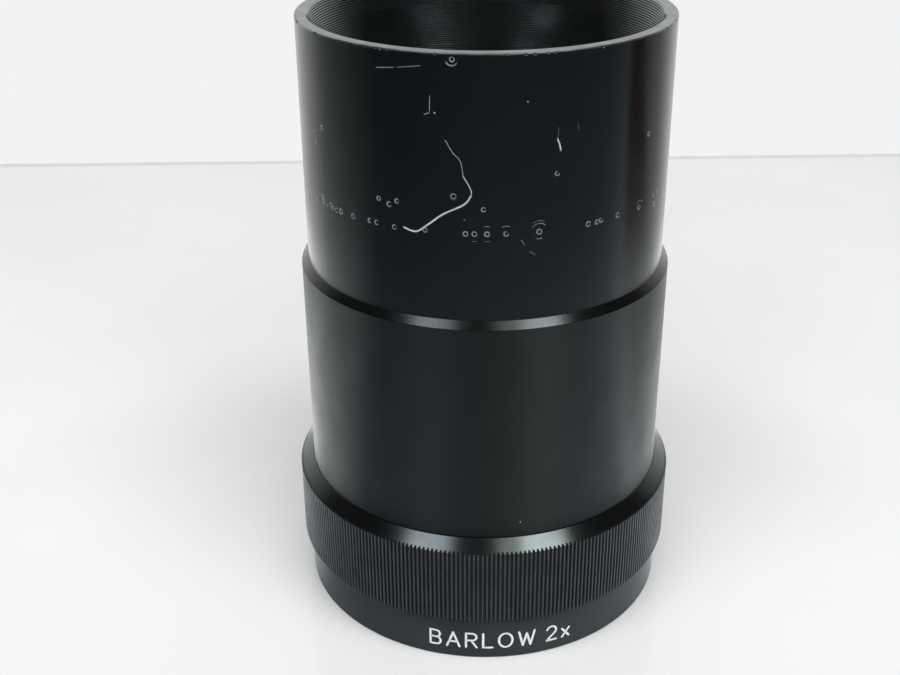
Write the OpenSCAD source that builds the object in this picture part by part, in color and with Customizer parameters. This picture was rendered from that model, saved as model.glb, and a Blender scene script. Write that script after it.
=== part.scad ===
// Two inch barlow lens with a twist-lock eyepiece socket.
// It stands on its eyepiece end: the base is at z = 0 and the nosepiece points up.
// Every piece is turned about the Z axis, which is also the optical axis.

/* [Nosepiece] */
// Outside diameter of the nosepiece, the standard two inch size
nose_d = 50.8; // [50.7:0.05:50.8]
// Length of the nosepiece above the shoulder
nose_len = 34; // [33:0.5:45]
// Bore of the nosepiece at the crests of its glare grooves
nose_bore_d = 46.6; // [46.4:0.05:46.6]
// Minor diameter of the filter thread in the mouth
filter_bore_d = 47.2; // [47.15:0.05:47.3]
// Depth of the filter thread
filter_depth = 3.5; // [3:0.25:6]
// Chamfer on the edges of the mouth
mouth_chamfer = 0.3; // [0.1:0.05:0.4]
// Outside diameter of the threaded spigot that screws into the body
spigot_d = 50; // [49.8:0.05:50.1]
// Length of the threaded spigot
spigot_len = 9; // [6:0.5:9]

/* [Body sleeve] */
// Outside diameter of the body
body_d = 52.8; // [52.8:0.05:53]
// Height of the shoulder between body and nosepiece
shoulder_z = 53; // [52:0.5:56]
// Chamfer on the shoulder
shoulder_chamfer = 1; // [0.6:0.1:1]
// Height of the sleeve's lower end inside the collar
sleeve_foot_z = 7; // [6.8:0.1:7.4]
// Bore of the eyepiece socket
socket_d = 50.9; // [50.85:0.05:50.95]
// Half angle of the clamping cone at the foot of the sleeve
cone_angle = 12; // [11:0.5:13]

/* [Twist-lock collar] */
// Diameter over the knurl
knurl_d = 56.95; // [56.6:0.05:58]
// Diameter of the plain band under the knurl
band_d = 54.9; // [54.8:0.05:55.2]
// Height of the plain band
band_h = 6.35; // [5.5:0.05:6.4]
// Height of the top of the knurl
knurl_top_z = 18.8; // [18.6:0.1:20]
// Height of the collar
collar_h = 20.3; // [20.2:0.1:22]
// Turn of the collar from open to locked, in degrees
collar_turn = 90; // [60:5:120]
// Travel of the collar in one full turn of its thread
thread_lead = 2; // [1.5:0.25:2]

/* [Optics] */
// Diameter of the two lens elements
lens_d = 36; // [35:0.5:37]
// Radius of the upper face of the crown element
crown_top_radius = 52; // [48:1:60]
// Radius of the two faces that look at each other across the air gap
inner_radius = 40.5; // [40:0.5:44]
// Radius of the lower face of the flint element
flint_low_radius = 210; // [180:10:260]
// Thickness of the crown element on the axis
crown_centre = 2.5; // [2:0.1:2.6]
// Thickness of the flint element on the axis
flint_centre = 6.5; // [6:0.1:6.6]
// Air gap between the elements
air_gap = 0.4; // [0.3:0.05:0.4]
// Height of the seat that the lens cell rests on
cell_seat_z = 56; // [55:0.5:57]

/* [Hidden] */
$fn = 180;
eps = 1;

// Radii of the main surfaces
nose_r = nose_d / 2;
nose_bore_r = nose_bore_d / 2;
filter_bore_r = filter_bore_d / 2;
spigot_r = spigot_d / 2;
body_r = body_d / 2;
socket_r = socket_d / 2;
knurl_r = knurl_d / 2;
band_r = band_d / 2;
lens_r = lens_d / 2;

// Radial gaps: between pieces that are screwed together, and round the turning collar
thread_gap = 0.05;
running_gap = 0.05;

// Heights, from the base up
mouth_z = shoulder_z + nose_len;
baffle_t = 1;
web_t = 1.5;
web_z = shoulder_z - spigot_len - baffle_t - web_t;
web_r = 23;
lower_bore_r = 22.6;
edge_break = 0.2;

// Collar: bore, lip that carries the washer, and mouth for the eyepiece
collar_bore_r = body_r + running_gap;
lip_t = 1.6;
lip_r = socket_r + 0.2;
lip_chamfer = 0.4;
under_chamfer = knurl_r - band_r;
top_land = 0.1;

// Clamping parts: the washer sits on the lip, and the ring stands on the washer
washer_z = lip_t + running_gap;
washer_h = 1;
washer_in_r = socket_r + 0.25;
washer_out_r = collar_bore_r - 0.15;
ring_z = washer_z + washer_h;
ring_in_r = socket_r + 0.05;
ring_split = 1.6;
ring_split_angle = 35;
cone_mouth_r = body_r - 0.35;
cone_len = (cone_mouth_r - socket_r) / tan(cone_angle);
collar_travel = thread_lead * collar_turn / 360;
cone_gap = (collar_travel + 0.08) * tan(cone_angle);
ring_tip = 0.15;
ring_top_z = sleeve_foot_z + (cone_mouth_r - cone_gap - ring_in_r - ring_tip) / tan(cone_angle);
ring_cone_z = sleeve_foot_z - (washer_out_r - cone_mouth_r + cone_gap) / tan(cone_angle);

// Rubber ring that drags on the sleeve
o_ring_z = 17.2;
o_ring_section = 1.1;
o_ring_r = body_r + 0.03 + o_ring_section / 2;
o_ring_gap = 0.02;

// Stop screw in the back of the collar, and the slot that it runs in
stop_z = 12.6;
stop_angle = 90;
stop_r = 1.25;
stop_point_r = 0.9;
stop_point_len = 0.6;
stop_depth_r = body_r - 0.4;
stop_head_r = knurl_r - 0.55;
slot_depth_r = body_r - 0.5;
slot_gap = 0.1;
hex_r = 0.73;
hex_depth = 0.9;

// Lens stack, from the cell's lip up
function sag(radius, r) = radius - sqrt(radius * radius - r * r);
aperture_r = lens_r - 0.7;
cell_r = nose_bore_r - thread_gap;
cell_lip = 1.5;
pad_t = 0.43;
retainer_h = 1.9;
retainer_r = lens_r + 1.2;
flint_z = cell_seat_z + cell_lip;
flint_low_vertex = flint_z + sag(flint_low_radius, aperture_r);
flint_top_vertex = flint_low_vertex + flint_centre;
spacer_z = flint_top_vertex - sag(inner_radius, aperture_r);
crown_z = spacer_z + air_gap;
crown_low_vertex = flint_top_vertex + air_gap;
crown_top_vertex = crown_low_vertex + crown_centre;
pad_z = crown_top_vertex + sag(crown_top_radius, aperture_r);
retainer_z = pad_z + pad_t;
cell_top_z = retainer_z + retainer_h + 0.1;
lock_ring_h = 2.2;

// A ring turned from an outline of [radius, height] points
module turned(outline) {
    rotate_extrude() polygon(outline);
}

// A plain ring between two radii
module ring(inner, outer, low, high) {
    turned([[inner, low], [outer, low], [outer, high], [inner, high]]);
}

// Two spanner slots cut across a ring, on opposite sides
module spanner_slots(width, reach, low, high) {
    translate([-reach, -width / 2, low]) cube([2 * reach, width, high - low]);
}

// Upper tube that slides into a focuser: mouth with a filter thread, grooved bore, spigot below
module nosepiece_tube() {
    color("#17181b") turned([
        [spigot_r, shoulder_z - spigot_len],
        [spigot_r, shoulder_z],
        [nose_r, shoulder_z],
        [nose_r, mouth_z - edge_break],
        [nose_r - edge_break, mouth_z],
        [filter_bore_r + mouth_chamfer, mouth_z],
        [filter_bore_r, mouth_z - mouth_chamfer],
        [filter_bore_r, mouth_z - filter_depth],
        [nose_bore_r, mouth_z - filter_depth],
        [nose_bore_r, cell_seat_z],
        [lower_bore_r, cell_seat_z],
        [lower_bore_r, shoulder_z - spigot_len]
    ]);
}

// Body: eyepiece socket from below, a web that an eyepiece's barrel comes to rest against, and a
// threaded top for the spigot
module body_sleeve() {
    color("#1d1e21") difference() {
        turned([
            [cone_mouth_r, sleeve_foot_z],
            [body_r - edge_break, sleeve_foot_z],
            [body_r, sleeve_foot_z + edge_break],
            [body_r, shoulder_z - shoulder_chamfer],
            [body_r - shoulder_chamfer, shoulder_z],
            [spigot_r + thread_gap, shoulder_z],
            [spigot_r + thread_gap, web_z + web_t],
            [web_r, web_z + web_t],
            [web_r, web_z],
            [socket_r, web_z],
            [socket_r, sleeve_foot_z + cone_len]
        ]);
        stop_slot();
    }
}

// Slot in the outside of the sleeve: it lets the stop screw turn and climb with the collar
module stop_slot() {
    margin = atan((stop_point_r + slot_gap) / stop_depth_r);
    low = stop_z - stop_point_r - slot_gap;
    high = stop_z + stop_point_r + slot_gap + collar_travel;
    rotate([0, 0, stop_angle - margin])
        rotate_extrude(angle = collar_turn + 2 * margin)
            translate([slot_depth_r, low]) square([eps, high - low]);
}

// Knurled collar that is turned by hand: lip below, smooth band, knurl and a long top chamfer
module lock_collar() {
    color("#202124") difference() {
        turned([
            [lip_r + lip_chamfer, 0],
            [band_r - edge_break, 0],
            [band_r, edge_break],
            [band_r, band_h],
            [knurl_r, band_h + under_chamfer],
            [knurl_r, knurl_top_z],
            [collar_bore_r + top_land, collar_h],
            [collar_bore_r, collar_h],
            [collar_bore_r, o_ring_z + o_ring_section / 2 + o_ring_gap],
            [o_ring_r + o_ring_section / 2 + o_ring_gap, o_ring_z + o_ring_section / 2 + o_ring_gap],
            [o_ring_r + o_ring_section / 2 + o_ring_gap, o_ring_z - o_ring_section / 2 - o_ring_gap],
            [collar_bore_r, o_ring_z - o_ring_section / 2 - o_ring_gap],
            [collar_bore_r, lip_t],
            [lip_r, lip_t],
            [lip_r, lip_chamfer]
        ]);
        rotate([0, 0, stop_angle])
            translate([collar_bore_r - eps, 0, stop_z])
                rotate([0, 90, 0]) cylinder(h = knurl_r - collar_bore_r + 2 * eps, r = stop_r);
    }
}

// Split brass ring: its cone is pushed into the sleeve's cone and closes on the eyepiece
module compression_ring() {
    color("#b8924a") difference() {
        turned([
            [ring_in_r, ring_z],
            [washer_out_r, ring_z],
            [washer_out_r, ring_cone_z],
            [ring_in_r + ring_tip, ring_top_z],
            [ring_in_r, ring_top_z]
        ]);
        rotate([0, 0, ring_split_angle])
            translate([0, -ring_split / 2, ring_z - eps])
                cube([body_r + eps, ring_split, ring_top_z - ring_z + 2 * eps]);
    }
}

// Nylon washer between the collar's lip and the compression ring
module thrust_washer() {
    color("#e8e4d8") ring(washer_in_r, washer_out_r, washer_z, washer_z + washer_h);
}

// Rubber ring in the collar's groove
module collar_o_ring() {
    color("#101010") rotate_extrude()
        translate([o_ring_r, o_ring_z]) circle(d = o_ring_section, $fn = 48);
}

// Dog-point set screw that limits the collar's turn
module collar_stop_screw() {
    color("#3a3a3d") rotate([0, 0, stop_angle]) translate([0, 0, stop_z]) rotate([0, 90, 0])
        difference() {
            union() {
                translate([0, 0, stop_depth_r + stop_point_len])
                    cylinder(h = stop_head_r - stop_depth_r - stop_point_len, r = stop_r, $fn = 48);
                translate([0, 0, stop_depth_r])
                    cylinder(h = stop_point_len + eps / 2, r = stop_point_r, $fn = 48);
            }
            translate([0, 0, stop_head_r - hex_depth]) cylinder(h = hex_depth + eps, r = hex_r, $fn = 6);
        }
}

// Cell that holds the elements and screws down the nosepiece's bore
module lens_cell() {
    color("#141416") turned([
        [aperture_r, cell_seat_z],
        [cell_r - edge_break, cell_seat_z],
        [cell_r, cell_seat_z + edge_break],
        [cell_r, cell_top_z - edge_break],
        [cell_r - edge_break, cell_top_z],
        [retainer_r + thread_gap, cell_top_z],
        [retainer_r + thread_gap, pad_z],
        [lens_r + thread_gap, pad_z],
        [lens_r + thread_gap, flint_z],
        [aperture_r, flint_z]
    ]);
}

// Upper element, hollow on both faces, with a flat land round each
module crown_element() {
    color("#b9d4c6", 0.5) difference() {
        translate([0, 0, crown_z]) cylinder(h = pad_z - crown_z, r = lens_r);
        translate([0, 0, crown_top_vertex + crown_top_radius]) sphere(r = crown_top_radius);
        translate([0, 0, crown_low_vertex - inner_radius]) sphere(r = inner_radius);
    }
}

// Lower element, domed above and slightly hollow below
module flint_element() {
    color("#c4cfe0", 0.5) difference() {
        union() {
            translate([0, 0, flint_z]) cylinder(h = spacer_z - flint_z, r = lens_r);
            intersection() {
                translate([0, 0, flint_top_vertex - inner_radius]) sphere(r = inner_radius);
                translate([0, 0, spacer_z - eps / 2]) cylinder(h = flint_top_vertex - flint_z, r = aperture_r);
            }
        }
        translate([0, 0, flint_low_vertex - flint_low_radius]) sphere(r = flint_low_radius);
    }
}

// Thin ring that keeps the air gap at the edge
module lens_spacer_ring() {
    color("#2a2a2c") ring(aperture_r + 0.05, lens_r, spacer_z, crown_z);
}

// Soft ring between the glass and the retaining ring
module lens_pad_ring() {
    color("#d9d4c4") ring(aperture_r - 0.1, retainer_r - 0.3, pad_z, pad_z + pad_t);
}

// Threaded ring that holds the stack in the cell
module lens_retaining_ring() {
    inner = aperture_r - 0.3;
    top = retainer_z + retainer_h;
    color("#19191b") difference() {
        turned([[inner, retainer_z], [retainer_r, retainer_z], [retainer_r, top],
                [inner + 0.6, top], [inner, top - 0.6]]);
        spanner_slots(1.4, retainer_r + eps, top - 0.9, top + eps);
    }
}

// Jam ring that locks the cell in the nosepiece
module cell_lock_ring() {
    inner = 21.5;
    top = cell_top_z + lock_ring_h;
    color("#19191b") difference() {
        turned([[inner, cell_top_z], [cell_r, cell_top_z], [cell_r, top], [inner + 0.4, top],
                [inner, top - 0.4]]);
        rotate([0, 0, 90]) spanner_slots(1.6, cell_r + eps, top - 1.1, top + eps);
    }
}

// Knife-edged stop held between the spigot's end and the web
module glare_baffle() {
    inner = 21;
    low = web_z + web_t;
    color("#121213") turned([[inner, low], [spigot_r, low], [spigot_r, low + baffle_t],
                             [inner + 0.6, low + baffle_t], [inner, low + edge_break]]);
}

nosepiece_tube();
body_sleeve();
lock_collar();
compression_ring();
thrust_washer();
collar_o_ring();
collar_stop_screw();
lens_cell();
crown_element();
flint_element();
lens_spacer_ring();
lens_pad_ring();
lens_retaining_ring();
cell_lock_ring();
glare_baffle();
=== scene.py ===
"""A two inch barlow lens with a twist-lock eyepiece collar, finished round its CAD frame.

Pieces are shaped in millimetres with the optical axis on Z, and scaled into the frame's metres when done.
Angles on the barrel are in degrees from the front of the collar, where the engraving is, and grow to the
right.
"""
import math
import random

import bmesh
import bpy
import numpy as np
from mathutils import Matrix, Vector


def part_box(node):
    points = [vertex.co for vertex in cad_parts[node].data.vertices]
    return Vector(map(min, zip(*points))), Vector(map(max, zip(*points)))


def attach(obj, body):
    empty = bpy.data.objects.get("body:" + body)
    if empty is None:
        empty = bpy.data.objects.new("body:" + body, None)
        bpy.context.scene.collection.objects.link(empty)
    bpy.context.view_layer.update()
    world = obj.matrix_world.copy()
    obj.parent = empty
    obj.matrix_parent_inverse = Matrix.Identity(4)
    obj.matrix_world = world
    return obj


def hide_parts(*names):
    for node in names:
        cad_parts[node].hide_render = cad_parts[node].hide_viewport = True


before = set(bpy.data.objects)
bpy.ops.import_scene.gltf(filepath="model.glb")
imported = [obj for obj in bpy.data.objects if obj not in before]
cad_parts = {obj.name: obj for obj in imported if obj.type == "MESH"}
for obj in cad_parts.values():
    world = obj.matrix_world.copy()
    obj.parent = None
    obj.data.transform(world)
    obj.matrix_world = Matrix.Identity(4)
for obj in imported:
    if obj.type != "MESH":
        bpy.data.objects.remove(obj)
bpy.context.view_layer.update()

MM = 0.001
SIDES = 512
SLICES = 8
FLUTES = 290
FLUTE_STEPS = 4


def extent(node):
    """Outer radius, foot and top of a turned CAD node, in millimetres."""
    low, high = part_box(node)
    return high.x / MM, low.z / MM, high.z / MM


NOSE_R, SPIGOT_FOOT, MOUTH = extent("nosepiece_tube")
BODY_R, SLEEVE_FOOT, SHOULDER = extent("body_sleeve")
KNURL_R, COLLAR_FOOT, COLLAR_TOP = extent("lock_collar")
SPIGOT_R, BAFFLE_FOOT = extent("glare_baffle")[:2]
CELL_R, CELL_SEAT, CELL_TOP = extent("lens_cell")
RETAINER_R, RETAINER_FOOT, RETAINER_TOP = extent("lens_retaining_ring")
LOCK_RING_TOP = extent("cell_lock_ring")[2]
LENS_R, CROWN_FOOT, CROWN_TOP = extent("crown_element")
FLINT_FOOT = extent("flint_element")[1]
SPACER_FOOT = extent("lens_spacer_ring")[1]
O_RING_R, O_RING_FOOT, O_RING_TOP = extent("collar_o_ring")
STOP_SCREW = sum(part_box("collar_stop_screw"), Vector()) / 2 / MM

THREAD_GAP = 0.05
RUNNING_GAP = 0.05

# Nosepiece
BORE_R = CELL_R + THREAD_GAP
FILTER_R = 23.6
FILTER_LEAD_IN = 0.3
ENTRY_DEEP = 3.8
LOWER_BORE_R = 22.6
GROOVE_PITCH = 0.34
GROOVE_DEPTH = 0.1
RIM_ROUND = 0.22

# Body
SOCKET_R = 25.45
WEB_R = 23.0
WEB_THICK = 1.5
CONE_MOUTH_R = 26.05
CONE_TOP = 9.82
SHOULDER_CHAMFER = 1.0
SLOT_DEPTH = 0.5
SLOT_HEIGHT = 2.5
SLOT_BELOW_SCREW = 1.0
SLOT_START, SLOT_END = 87, 183

# Collar
COLLAR_BORE_R = BODY_R + RUNNING_GAP
LIP_R = 25.65
LIP_THICK = 1.6
BAND_R = 27.45
BAND_TOP = 6.35
KNURL_TOP = 18.8
FLUTE_DEPTH = 0.3
TOP_LAND = 0.1
O_RING_GAP = 0.02
SCREW_HOLE_R = 1.25

# Optics
APERTURE_R = LENS_R - 0.7
CROWN_HOLLOW_R = 52
SHARED_CURVE_R = 40.5
FLINT_FOOT_CURVE_R = 210
JAM_RING_BORE_R = 21.5


# ---------------------------------------------------------------- shapes

def turned(outline, steps=SIDES):
    """Spins an outline of (radius, height) corners round the axis: one slice first, then its copies.

    A third number eases its corner.
    """
    bm = bmesh.new()
    corners = [bm.verts.new((corner[0], 0, corner[1])) for corner in outline]
    for start, end in zip(corners, corners[1:] + corners[:1]):
        if start.co.x > 0 or end.co.x > 0:
            bm.edges.new((start, end))
    for corner, vert in zip(outline, corners):
        if len(corner) == 3:
            bmesh.ops.bevel(bm, geom=[vert], offset=corner[2], offset_type="OFFSET", affect="VERTICES",
                            segments=3, profile=0.5, material=-1)
    slice_turn = math.tau / SLICES
    bmesh.ops.spin(bm, geom=bm.verts[:] + bm.edges[:], axis=(0, 0, 1), cent=(0, 0, 0),
                   steps=steps // SLICES, angle=slice_turn)
    bmesh.ops.spin(bm, geom=bm.verts[:] + bm.edges[:] + bm.faces[:], axis=(0, 0, 1), cent=(0, 0, 0),
                   steps=SLICES - 1, angle=math.tau - slice_turn, use_duplicate=True)
    bmesh.ops.remove_doubles(bm, verts=bm.verts, dist=0.0005)
    bmesh.ops.recalc_face_normals(bm, faces=bm.faces)
    return bm


def dome(radius, edge_r, edge_z, rise, steps=24):
    """Points of a lens face from its edge to the axis. A negative rise makes it hollow."""
    centre = edge_z - math.copysign(math.sqrt(radius ** 2 - edge_r ** 2), rise)
    reach = math.asin(edge_r / radius)
    turns = [reach * (steps - i) / steps for i in range(steps)] + [0.0]
    return [(radius * math.sin(turn), centre + math.copysign(radius * math.cos(turn), rise))
            for turn in turns]


def vee_grooves(top_radius, radius, top, bottom):
    """Corners of fine square V grooves with lands between, down a bore that may narrow from its top."""
    count = round((top - bottom) / GROOVE_PITCH)
    corners = []
    for i in range(count):
        wall = top_radius + (radius - top_radius) * i / count
        start = top - i * GROOVE_PITCH
        corners += [(wall, start), (wall + GROOVE_DEPTH, start - GROOVE_DEPTH),
                    (wall, start - 2 * GROOVE_DEPTH)]
    return corners + [(radius, bottom)]


def paint(bm, finish, where):
    """Gives a finish, by its number in the piece's list, to faces whose middle passes a test.

    The test is of the middle's radius and height.
    """
    for face in bm.faces:
        middle = face.calc_center_median()
        if where(middle.xy.length, middle.z):
            face.material_index = finish


def as_mesh(name, bm):
    """Turns a mesh under way into a stored one."""
    mesh = bpy.data.meshes.new(name)
    bm.to_mesh(mesh)
    bm.free()
    return mesh


def made(name, bm, finishes):
    """Turns a mesh under way into an object with its finishes, still in millimetres."""
    mesh = as_mesh(name, bm)
    for finish in finishes:
        mesh.materials.append(finish)
    obj = bpy.data.objects.new(name, mesh)
    bpy.context.scene.collection.objects.link(obj)
    return obj


def carve(blank, cutter, operation="DIFFERENCE", overlapping=False):
    """Cuts one object with another, which is used up. A cut face keeps the cutter's finish number."""
    cut = blank.modifiers.new("cut", "BOOLEAN")
    cut.object = cutter
    cut.operation = operation
    cut.solver = "EXACT"
    cut.use_self = overlapping
    cut.material_mode = "INDEX"
    graph = bpy.context.evaluated_depsgraph_get()
    result = bpy.data.meshes.new_from_object(blank.evaluated_get(graph))
    blank.modifiers.clear()
    blank.data = result
    bpy.data.objects.remove(cutter)


def lathe_shading(mesh):
    """Gives each face that the lathe left the exact normals of its cylinder, cone or flat."""
    sideways_limit = 0.02
    mesh.shade_smooth()
    mesh.set_sharp_from_angle(angle=math.radians(30))
    count = len(mesh.polygons)
    normal = np.empty(count * 3)
    centre = np.empty(count * 3)
    corners = np.empty(count, dtype=np.int32)
    mesh.polygons.foreach_get("normal", normal)
    mesh.polygons.foreach_get("center", centre)
    mesh.polygons.foreach_get("loop_total", corners)
    normal, centre = normal.reshape(-1, 3), centre.reshape(-1, 3)
    shading = np.empty(len(mesh.loops) * 3)
    mesh.corner_normals.foreach_get("vector", shading)
    shading = shading.reshape(-1, 3)
    vertex = np.empty(len(mesh.loops), dtype=np.int32)
    mesh.loops.foreach_get("vertex_index", vertex)
    places = np.empty(len(mesh.vertices) * 3)
    mesh.vertices.foreach_get("co", places)
    places = places.reshape(-1, 3)[vertex]
    face = np.repeat(np.arange(count), corners)

    away = centre[:, :2] / np.maximum(np.linalg.norm(centre[:, :2], axis=1, keepdims=True), 1e-9)
    outward = normal[:, 0] * away[:, 0] + normal[:, 1] * away[:, 1]
    sideways = normal[:, 1] * away[:, 0] - normal[:, 0] * away[:, 1]
    turned_face = np.abs(sideways) < sideways_limit
    corner_away = places[:, :2] / np.maximum(np.linalg.norm(places[:, :2], axis=1, keepdims=True), 1e-9)
    exact = np.column_stack((corner_away * outward[face][:, None], normal[face][:, 2]))
    keep = turned_face[face]
    shading[keep] = exact[keep]
    mesh.normals_split_custom_set(shading.tolist())


def settle(obj, body, node, lathe=True):
    """Scales a finished piece into the frame, shades it, and puts it on its body for its CAD node."""
    obj.data.transform(Matrix.Scale(MM, 4))
    if lathe:
        lathe_shading(obj.data)
    else:
        obj.data.shade_smooth()
        obj.data.set_sharp_from_angle(angle=math.radians(35))
    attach(obj, body)
    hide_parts(node)
    return obj


def on_wall(radius, angle, height):
    """A point on a wall of the barrel."""
    turn = math.radians(angle)
    return Vector((radius * math.sin(turn), -radius * math.cos(turn), height))


def wall_frame(radius, angle, height):
    """Places a small shape on a wall: its X along the wall, its Y up and its Z out of it."""
    return (Matrix.Rotation(math.radians(angle), 4, "Z") @ Matrix.Translation((0, -radius, height))
            @ Matrix.Rotation(math.radians(90), 4, "X"))


def groove_tube(places, half_width, sink, fade=0.3, sides=2):
    """A tube with round ends along points in space, a little sunk or proud of the wall, for a cutter."""
    curve = bpy.data.curves.new("groove", "CURVE")
    curve.dimensions = "3D"
    curve.bevel_depth = half_width
    curve.bevel_resolution = sides
    curve.use_fill_caps = True
    spline = curve.splines.new("POLY")
    first, last = places[0], places[-1]
    lead_in = (first - places[1]).normalized() * half_width
    lead_out = (last - places[-2]).normalized() * half_width
    route = [(first + lead_in * 0.95, fade), (first + lead_in * 0.6, 0.8)]
    route += [(place, 1.0) for place in places]
    route += [(last + lead_out * 0.6, 0.8), (last + lead_out * 0.95, fade)]
    spline.points.add(len(route) - 1)
    for point, (place, width) in zip(spline.points, route):
        out = Vector((place.x, place.y, 0)).normalized()
        point.co = (*(place + out * sink), 1)
        point.radius = width
    holder = bpy.data.objects.new("groove", curve)
    mesh = bpy.data.meshes.new_from_object(holder)
    bpy.data.objects.remove(holder)
    bpy.data.curves.remove(curve)
    return mesh


def joined(groups):
    """Brings groups of closed meshes together in one cutter, each group with the number of its finish."""
    bm = bmesh.new()
    for meshes, finish in groups:
        for mesh in meshes:
            done = len(bm.faces)
            bm.from_mesh(mesh)
            bpy.data.meshes.remove(mesh)
            bm.faces.ensure_lookup_table()
            for face in bm.faces[done:]:
                face.material_index = finish
    bmesh.ops.recalc_face_normals(bm, faces=bm.faces)
    return bm


# ---------------------------------------------------------------- finishes

def linear(hex_colour):
    """Turns an sRGB hex colour into the linear colour that a shader takes."""
    channels = [int(hex_colour[i:i + 2], 16) / 255 for i in (1, 3, 5)]
    return tuple(c / 12.92 if c <= 0.04045 else ((c + 0.055) / 1.055) ** 2.4 for c in channels) + (1.0,)


def add(tree, kind, settings=None, sockets=None):
    """Adds a node with its settings; a socket is given a value or the output that feeds it."""
    node = tree.nodes.new(kind)
    for name, value in (settings or {}).items():
        setattr(node, name, value)
    for name, value in (sockets or {}).items():
        if isinstance(value, bpy.types.NodeSocket):
            tree.links.new(value, node.inputs[name])
        else:
            node.inputs[name].default_value = value
    return node


def new_finish(name, **shader_values):
    """A material with its shader's plain values set; returns it with its tree and shader."""
    material = bpy.data.materials.new(name)
    material.use_nodes = True
    tree = material.node_tree
    shader = tree.nodes["Principled BSDF"]
    for socket, value in shader_values.items():
        shader.inputs[socket.replace("_", " ")].default_value = value
    return material, tree, shader


def place(tree):
    """The point on the piece, in metres in the frame."""
    return add(tree, "ShaderNodeTexCoord").outputs["Object"]


def radius_at(tree, point):
    """Distance of the point from the optical axis, in metres."""
    flat = add(tree, "ShaderNodeVectorMath", {"operation": "MULTIPLY"}, {0: point, 1: (1, 1, 0)})
    length = add(tree, "ShaderNodeVectorMath", {"operation": "LENGTH"}, {0: flat.outputs[0]})
    return length.outputs["Value"]


def along_cut(tree, point):
    """Distance along a turned outline, in metres: it changes up walls and across faces, and not round."""
    across_share = 0.6
    height = add(tree, "ShaderNodeSeparateXYZ", None, {0: point})
    both = add(tree, "ShaderNodeMath", {"operation": "MULTIPLY_ADD"},
               {0: radius_at(tree, point), 1: across_share, 2: height.outputs["Z"]})
    return both.outputs[0]


def product(tree, first, second):
    """One pattern times another."""
    return add(tree, "ShaderNodeMath", {"operation": "MULTIPLY"}, {0: first, 1: second}).outputs[0]


def noise(tree, point, size_mm, detail=2.0, roughness=0.5):
    """Even noise whose blotches are about the given size."""
    cloud = add(tree, "ShaderNodeTexNoise", None,
                {"Vector": point, "Scale": 1 / (size_mm * MM), "Detail": detail, "Roughness": roughness})
    return cloud.outputs["Fac"]


def tool_lines(tree, point, feed_mm):
    """Lines that the lathe tool left round the piece, one feed apart."""
    lines = add(tree, "ShaderNodeTexNoise", {"noise_dimensions": "1D"},
                {"W": along_cut(tree, point), "Scale": 1 / (feed_mm * MM), "Detail": 2.0,
                 "Roughness": 0.6})
    return lines.outputs["Fac"]


def ranged(tree, value, low, high, start=0.3, end=0.7):
    """Spreads a pattern over a range of values: low where it is at its start, high at its end."""
    spread = add(tree, "ShaderNodeMapRange", None,
                 {"Value": value, "From Min": start, "From Max": end, "To Min": low, "To Max": high})
    return spread.outputs["Result"]


def blended(tree, share, first, second):
    """Mixes two colours by a pattern."""
    mix = add(tree, "ShaderNodeMix", {"data_type": "RGBA"}, {"Factor": share})
    for socket, colour in ((6, first), (7, second)):
        if isinstance(colour, bpy.types.NodeSocket):
            tree.links.new(colour, mix.inputs[socket])
        else:
            mix.inputs[socket].default_value = colour
    return mix.outputs[2]


def specks(tree, point, spacing_mm, size_mm, share):
    """Sparse round specks, as of dust or tiny chips: 1 on a speck and 0 elsewhere."""
    cells = add(tree, "ShaderNodeTexVoronoi", {"feature": "F1"},
                {"Vector": point, "Scale": 1 / (spacing_mm * MM), "Randomness": 1.0})
    near = add(tree, "ShaderNodeMath", {"operation": "LESS_THAN"},
               {0: cells.outputs["Distance"], 1: size_mm / spacing_mm})
    tint = add(tree, "ShaderNodeSeparateColor", None, {0: cells.outputs["Color"]})
    chosen = add(tree, "ShaderNodeMath", {"operation": "LESS_THAN"}, {0: tint.outputs[0], 1: share})
    return product(tree, near.outputs[0], chosen.outputs[0])


def turned_round_axis(tree, shader):
    """Runs the finish's grain round the barrel, as a lathe does."""
    grain = add(tree, "ShaderNodeTangent", {"direction_type": "RADIAL", "axis": "Z"})
    tree.links.new(grain.outputs["Tangent"], shader.inputs["Tangent"])


def relief(tree, shader, pattern, depth_mm):
    """Raises a pattern on the surface by a real depth."""
    bump = add(tree, "ShaderNodeBump", None,
               {"Height": pattern, "Strength": 1.0, "Distance": depth_mm * MM})
    tree.links.new(bump.outputs["Normal"], shader.inputs["Normal"])


def black_anodise(name, colour, grey, roughness, spread, ior, feed_mm, line_depth, dust=0.55):
    """Dyed black oxide on turned aluminium: the tool's lines draw reflections out along the barrel.

    A finishing cut's real lines are 0.1 mm apart; they are drawn coarser, so that they show.
    """
    material, tree, shader = new_finish(name, IOR=ior, Specular_Tint=linear("#f4ffff"), Anisotropic=spread,
                                        Anisotropic_Rotation=0.25)
    point = place(tree)
    dye = blended(tree, ranged(tree, noise(tree, point, 9.0, 3.0), 0.0, 1.0), linear(colour), linear(grey))
    dusty = specks(tree, point, 3.6, 0.1, dust)
    tree.links.new(blended(tree, dusty, dye, linear("#b9b9b4")), shader.inputs["Base Color"])
    wiped = ranged(tree, noise(tree, point, 5.0, 4.0, 0.65), roughness - 0.02, roughness + 0.03)
    lines = tool_lines(tree, point, feed_mm)
    streaked = add(tree, "ShaderNodeMath", {"operation": "MULTIPLY_ADD"}, {0: lines, 1: 0.04, 2: wiped})
    tree.links.new(streaked.outputs[0], shader.inputs["Roughness"])
    turned_round_axis(tree, shader)
    relief(tree, shader, lines, line_depth)
    return material


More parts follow.
